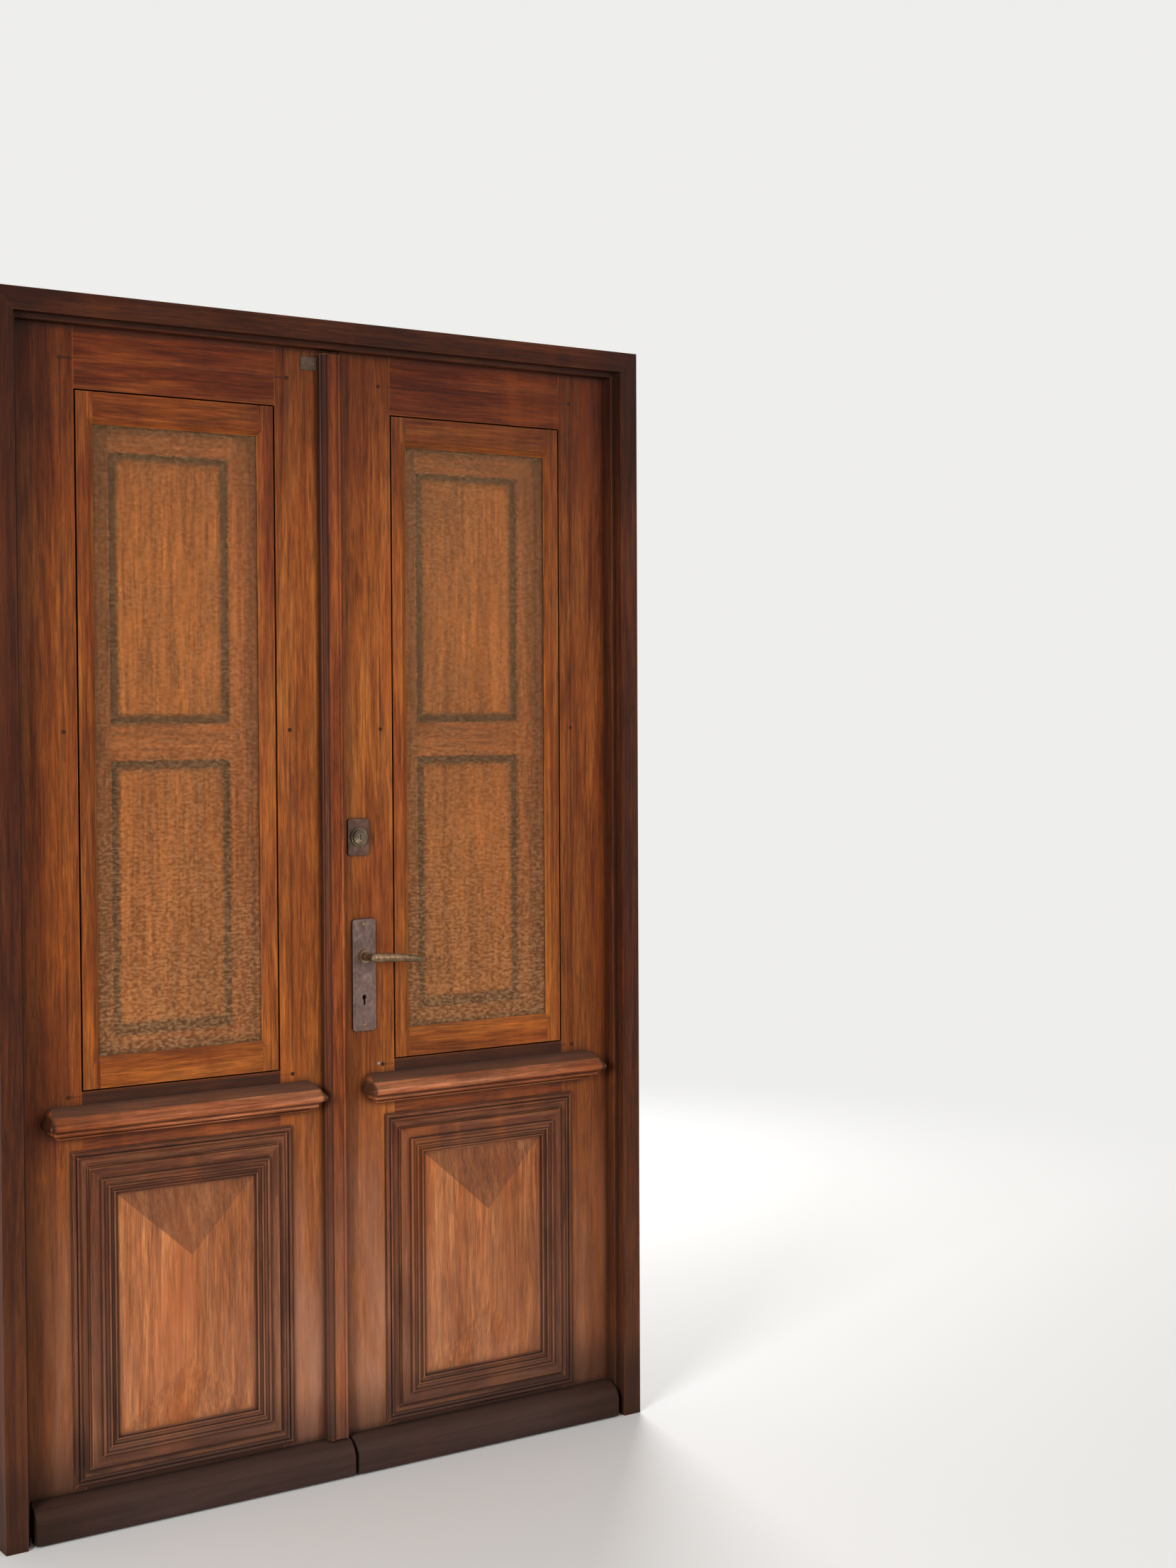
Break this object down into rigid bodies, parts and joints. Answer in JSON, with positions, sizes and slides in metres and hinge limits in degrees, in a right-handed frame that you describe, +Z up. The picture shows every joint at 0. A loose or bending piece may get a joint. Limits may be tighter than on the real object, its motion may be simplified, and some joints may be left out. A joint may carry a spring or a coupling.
{
  "type": "double panelled entrance door",
  "caption": "Weathered hardwood double door in its frame, with glazed opening sashes, indoor shutters, raised lower panels and lever lock.",
  "frame": {"origin": "floor level midway between the leaves, on the plane of the leaves' outer faces", "axes": "+Z up, -Y towards outdoors, +X to the right seen from outdoors"},
  "size_m": [1.39, 0.1403, 2.246],
  "materials": {
    "leaf_wood": "weathered varnish",
    "frame_wood": "dark weathered varnish",
    "board_wood": "dark glossy varnish",
    "shutter_wood": "matte varnish",
    "rippled_glass": "rippled, clear",
    "bronze": "dark patinated bronze",
    "worn_bronze": "worn bronze",
    "lock_brass": "dull brass",
    "steel": "brushed",
    "dark_steel": "dark lacquered steel",
    "tan_plate": "dull lacquered brass"
  },
  "bodies": {
    "root": {"head": "frame_wood", "head_keep": "dark_steel", "right_jamb": "frame_wood", "right_frame_hinges": "dark_steel", "left_jamb": "frame_wood", "left_frame_hinges": "dark_steel"},
    "right_leaf": {"right_stiles": "leaf_wood", "right_leaf_rails": "leaf_wood", "right_panel": "leaf_wood", "right_panel_mouldings": "leaf_wood", "right_ledge": "leaf_wood", "right_leaf_hinges": "dark_steel", "right_base_board": "board_wood", "outer_plate": "bronze", "inner_plate": "bronze", "lock_case": "steel", "cylinder": "lock_brass", "cylinder_plate": "bronze", "rim_latch_case": "dark_steel"},
    "left_leaf": {"left_stiles": "leaf_wood", "left_leaf_rails": "leaf_wood", "left_panel": "leaf_wood", "left_panel_mouldings": "leaf_wood", "left_ledge": "leaf_wood", "left_leaf_hinges": "dark_steel", "left_base_board": "board_wood", "astragal": "leaf_wood", "strike_plate": "steel", "cover_plate": "tan_plate", "rim_keep": "dark_steel", "bolt_guides": "dark_steel"},
    "lever": {"outer_lever": "worn_bronze", "inner_knob": "worn_bronze"},
    "latch_bolt": {"latch_bolt": "steel"},
    "deadbolt": {"deadbolt": "steel"},
    "cylinder_plug": {"cylinder_plug": "lock_brass"},
    "rim_latch_bolt": {"rim_latch_bolt": "lock_brass"},
    "rim_latch_knob": {"rim_latch_knob": "lock_brass"},
    "top_bolt": {"top_bolt": "steel"},
    "bottom_bolt": {"bottom_bolt": "steel"},
    "right_sash": {"right_sash_frame": "leaf_wood", "right_glass": "rippled_glass", "right_glazing_beads": "leaf_wood", "right_sash_hinges": "dark_steel"},
    "right_shutter": {"right_shutter_frame": "shutter_wood", "right_shutter_panels": "shutter_wood", "right_shutter_hinges": "dark_steel"},
    "right_sash_button": {"right_sash_button": "bronze"},
    "right_shutter_button": {"right_shutter_button": "bronze"},
    "left_sash": {"left_sash_frame": "leaf_wood", "left_glass": "rippled_glass", "left_glazing_beads": "leaf_wood", "left_sash_hinges": "dark_steel"},
    "left_shutter": {"left_shutter_frame": "shutter_wood", "left_shutter_panels": "shutter_wood", "left_shutter_hinges": "dark_steel"},
    "left_sash_button": {"left_sash_button": "bronze"},
    "left_shutter_button": {"left_shutter_button": "bronze"}
  },
  "joints": [
    {"name": "right_leaf_hinge", "type": "hinge", "parent": "root", "child": "right_leaf", "pos_m": [0.655, 0.052, 1.1], "axis": [0, 0, -1], "range_deg": [0, 100]},
    {"name": "right_sash_hinge", "type": "hinge", "parent": "right_leaf", "child": "right_sash", "pos_m": [0.5365, 0.051, 1.44], "axis": [0, 0, -1], "range_deg": [0, 95]},
    {"name": "right_shutter_hinge", "type": "hinge", "parent": "right_sash", "child": "right_shutter", "pos_m": [0.1495, 0.0628, 1.445], "axis": [0, 0, 1], "range_deg": [0, 95]},
    {"name": "right_sash_button_pivot", "type": "hinge", "parent": "right_leaf", "child": "right_sash_button", "pos_m": [0.1035, 0.0584, 1.4435], "axis": [0, -1, 0], "range_deg": [0, 90]},
    {"name": "right_shutter_button_pivot", "type": "hinge", "parent": "right_sash", "child": "right_shutter_button", "pos_m": [0.51775, 0.0584, 1.5035], "axis": [0, 1, 0], "range_deg": [0, 90]},
    {"name": "left_leaf_hinge", "type": "hinge", "parent": "root", "child": "left_leaf", "pos_m": [-0.655, 0.052, 1.1], "axis": [0, 0, 1], "range_deg": [0, 100]},
    {"name": "left_sash_hinge", "type": "hinge", "parent": "left_leaf", "child": "left_sash", "pos_m": [-0.5365, 0.051, 1.44], "axis": [0, 0, 1], "range_deg": [0, 95]},
    {"name": "left_shutter_hinge", "type": "hinge", "parent": "left_sash", "child": "left_shutter", "pos_m": [-0.1495, 0.0628, 1.445], "axis": [0, 0, -1], "range_deg": [0, 95]},
    {"name": "left_sash_button_pivot", "type": "hinge", "parent": "left_leaf", "child": "left_sash_button", "pos_m": [-0.1035, 0.0584, 1.4435], "axis": [0, 1, 0], "range_deg": [0, 90]},
    {"name": "left_shutter_button_pivot", "type": "hinge", "parent": "left_sash", "child": "left_shutter_button", "pos_m": [-0.51775, 0.0584, 1.5035], "axis": [0, -1, 0], "range_deg": [0, 90]},
    {"name": "lever_spindle", "type": "hinge", "parent": "right_leaf", "child": "lever", "pos_m": [0.0575, 0, 1.015], "axis": [0, 1, 0], "range_deg": [0, 45], "stiffness_Nm_per_rad": 1.5, "springref_deg": -34.38},
    {"name": "latch_slide", "type": "slide", "parent": "right_leaf", "child": "latch_bolt", "axis": [1, 0, 0], "range_m": [0, 0.011]},
    {"name": "deadbolt_slide", "type": "slide", "parent": "right_leaf", "child": "deadbolt", "axis": [-1, 0, 0], "range_m": [0, 0.02]},
    {"name": "cylinder_plug_turn", "type": "hinge", "parent": "right_leaf", "child": "cylinder_plug", "pos_m": [0.047, 0, 1.2505], "axis": [0, 1, 0], "range_deg": [-90, 90]},
    {"name": "rim_latch_knob_turn", "type": "hinge", "parent": "right_leaf", "child": "rim_latch_knob", "pos_m": [0.072, 0.068, 1.2505], "axis": [0, 1, 0], "range_deg": [0, 60]},
    {"name": "rim_latch_slide", "type": "slide", "parent": "right_leaf", "child": "rim_latch_bolt", "axis": [-1, 0, 0], "range_m": [0, 0.022]},
    {"name": "top_bolt_slide", "type": "slide", "parent": "left_leaf", "child": "top_bolt", "axis": [0, 0, 1], "range_m": [0, 0.03]},
    {"name": "bottom_bolt_slide", "type": "slide", "parent": "left_leaf", "child": "bottom_bolt", "axis": [0, 0, -1], "range_m": [0, 0.03]}
  ],
  "couplings": [
    {"joint": "latch_slide", "follows": "lever_spindle", "m_per_rad": 0.014005},
    {"joint": "rim_latch_knob_turn", "follows": "rim_latch_slide", "rad_per_m": 47.59}
  ]
}
